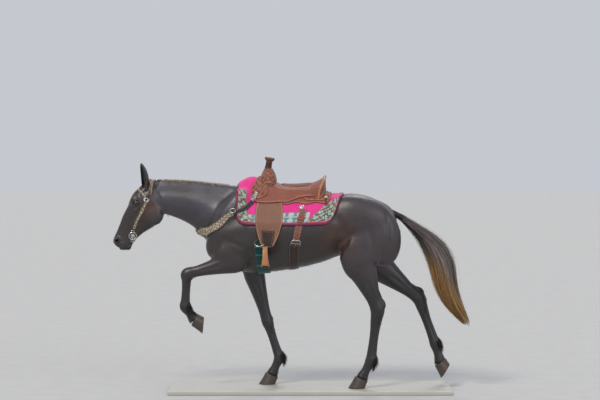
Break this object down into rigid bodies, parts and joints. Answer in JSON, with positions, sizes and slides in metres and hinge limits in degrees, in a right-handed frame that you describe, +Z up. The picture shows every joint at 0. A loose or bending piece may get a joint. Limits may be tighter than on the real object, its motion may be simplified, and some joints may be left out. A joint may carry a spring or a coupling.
{
  "type": "rocky mountain horse",
  "caption": "still life-size rocky mountain horse at a long walk, one forefoot lifted, in western saddle, pad, headstall and breast collar, on a flat display base",
  "frame": {"origin": "middle of the display base's underside, on the floor", "axes": "+Z up, the horse faces -X, its left side faces -Y"},
  "size_m": [2.6683, 0.7736, 1.7459],
  "materials": {
    "head": "short dark chocolate coat",
    "neck": "short dark chocolate coat with flaxen mane",
    "torso": "short dark chocolate coat",
    "tail": "long silver and flaxen hair",
    "leg": "short black-brown coat",
    "ear": "short dark chocolate coat",
    "eye": "wet dark eye",
    "hoof": "dark horn",
    "felt": "felt and woven band",
    "saddle": "tooled leather",
    "strap": "oiled strap leather",
    "inlay": "pale inlaid leather",
    "webbing": "woven webbing",
    "rawhide": "tan rawhide",
    "silver": "engraved silvered metal",
    "base": "pale satin paint"
  },
  "bodies": {
    "root": {"head": "head", "neck": "neck", "torso": "torso", "tail": "tail", "ear_left": "ear", "ear_right": "ear", "eye_left": "eye", "eye_right": "eye", "foreleg_left_upper": "leg", "foreleg_left_lower": "leg", "foreleg_left_hoof": "hoof", "foreleg_right_upper": "leg", "foreleg_right_lower": "leg", "foreleg_right_hoof": "hoof", "hindleg_left_upper": "leg", "hindleg_left_lower": "leg", "hindleg_left_hoof": "hoof", "hindleg_right_upper": "leg", "hindleg_right_lower": "leg", "hindleg_right_hoof": "hoof", "saddle_pad": "felt", "saddle_skirts": "saddle", "saddle_seat": "saddle", "saddle_fork": "saddle", "saddle_horn": "saddle", "saddle_cantle": "saddle", "fender_left": "saddle", "fender_right": "saddle", "stirrup_left": "rawhide", "stirrup_right": "rawhide", "latigo_left": "strap", "latigo_right": "strap", "billet_left": "saddle", "billet_right": "saddle", "buckle_left": "silver", "buckle_right": "silver", "cinch_front": "webbing", "cinch_back": "strap", "concho_left": "silver", "concho_right": "silver", "breast_collar": "strap", "collar_strap_left": "strap", "collar_strap_right": "strap", "collar_ring_left": "silver", "collar_ring_right": "silver", "headstall_crown": "strap", "headstall_browband": "inlay", "cheekpiece_left": "inlay", "cheekpiece_right": "inlay", "headstall_concho_left": "silver", "headstall_concho_right": "silver", "bit_cheek_left": "silver", "bit_cheek_right": "silver", "stand_base": "base"}
  },
  "joints": []
}
